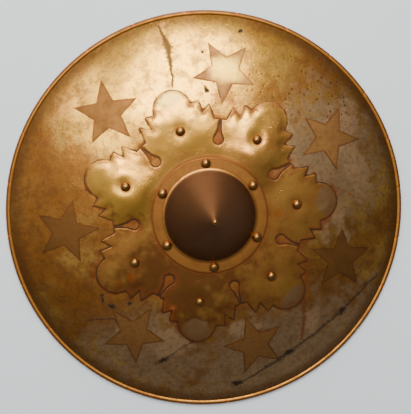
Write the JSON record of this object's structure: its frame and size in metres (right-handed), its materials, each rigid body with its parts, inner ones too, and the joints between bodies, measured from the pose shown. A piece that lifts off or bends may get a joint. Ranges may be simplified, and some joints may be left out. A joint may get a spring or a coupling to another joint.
{
  "type": "buckler shield",
  "caption": "Round domed sheet-metal buckler with a rolled rim, flush stars, a riveted lobed plate, a conical boss and a bar grip behind it.",
  "frame": {"origin": "on the shield's axis, at the level of the rim's underside, with the shield lying face up", "axes": "+Z along the axis, out through the boss; +X through the middle of one lobe of the plate"},
  "size_m": [0.399, 0.399, 0.0899],
  "materials": {
    "bowl": "hammered brass sheet, tarnished, rubbed and stained, greyer towards one side",
    "rim": "rolled brass edge, brown outside and bright along its inner half",
    "plate": "thin brass plate, lightly dented, rust-brown along its edges",
    "star": "dull brown brass",
    "boss": "spun bronze-brown cone with a brighter orange flange",
    "rivet": "polished domed heads",
    "iron": "plain dark forged iron"
  },
  "bodies": {
    "root": {"bowl": "bowl", "rim_bead": "rim", "lobed_plate": "plate", "star_1": "star", "star_2": "star", "star_3": "star", "star_4": "star", "star_5": "star", "star_6": "star", "star_7": "star", "boss": "boss", "boss_ball": "rivet", "grip": "iron", "plate_rivet_1": "rivet", "plate_rivet_2": "rivet", "plate_rivet_3": "rivet", "plate_rivet_4": "rivet", "plate_rivet_5": "rivet", "plate_rivet_6": "rivet", "plate_rivet_7": "rivet", "boss_rivet_1": "rivet", "boss_rivet_2": "rivet", "boss_rivet_3": "rivet", "boss_rivet_4": "rivet", "boss_rivet_5": "rivet", "boss_rivet_6": "rivet"}
  },
  "joints": []
}
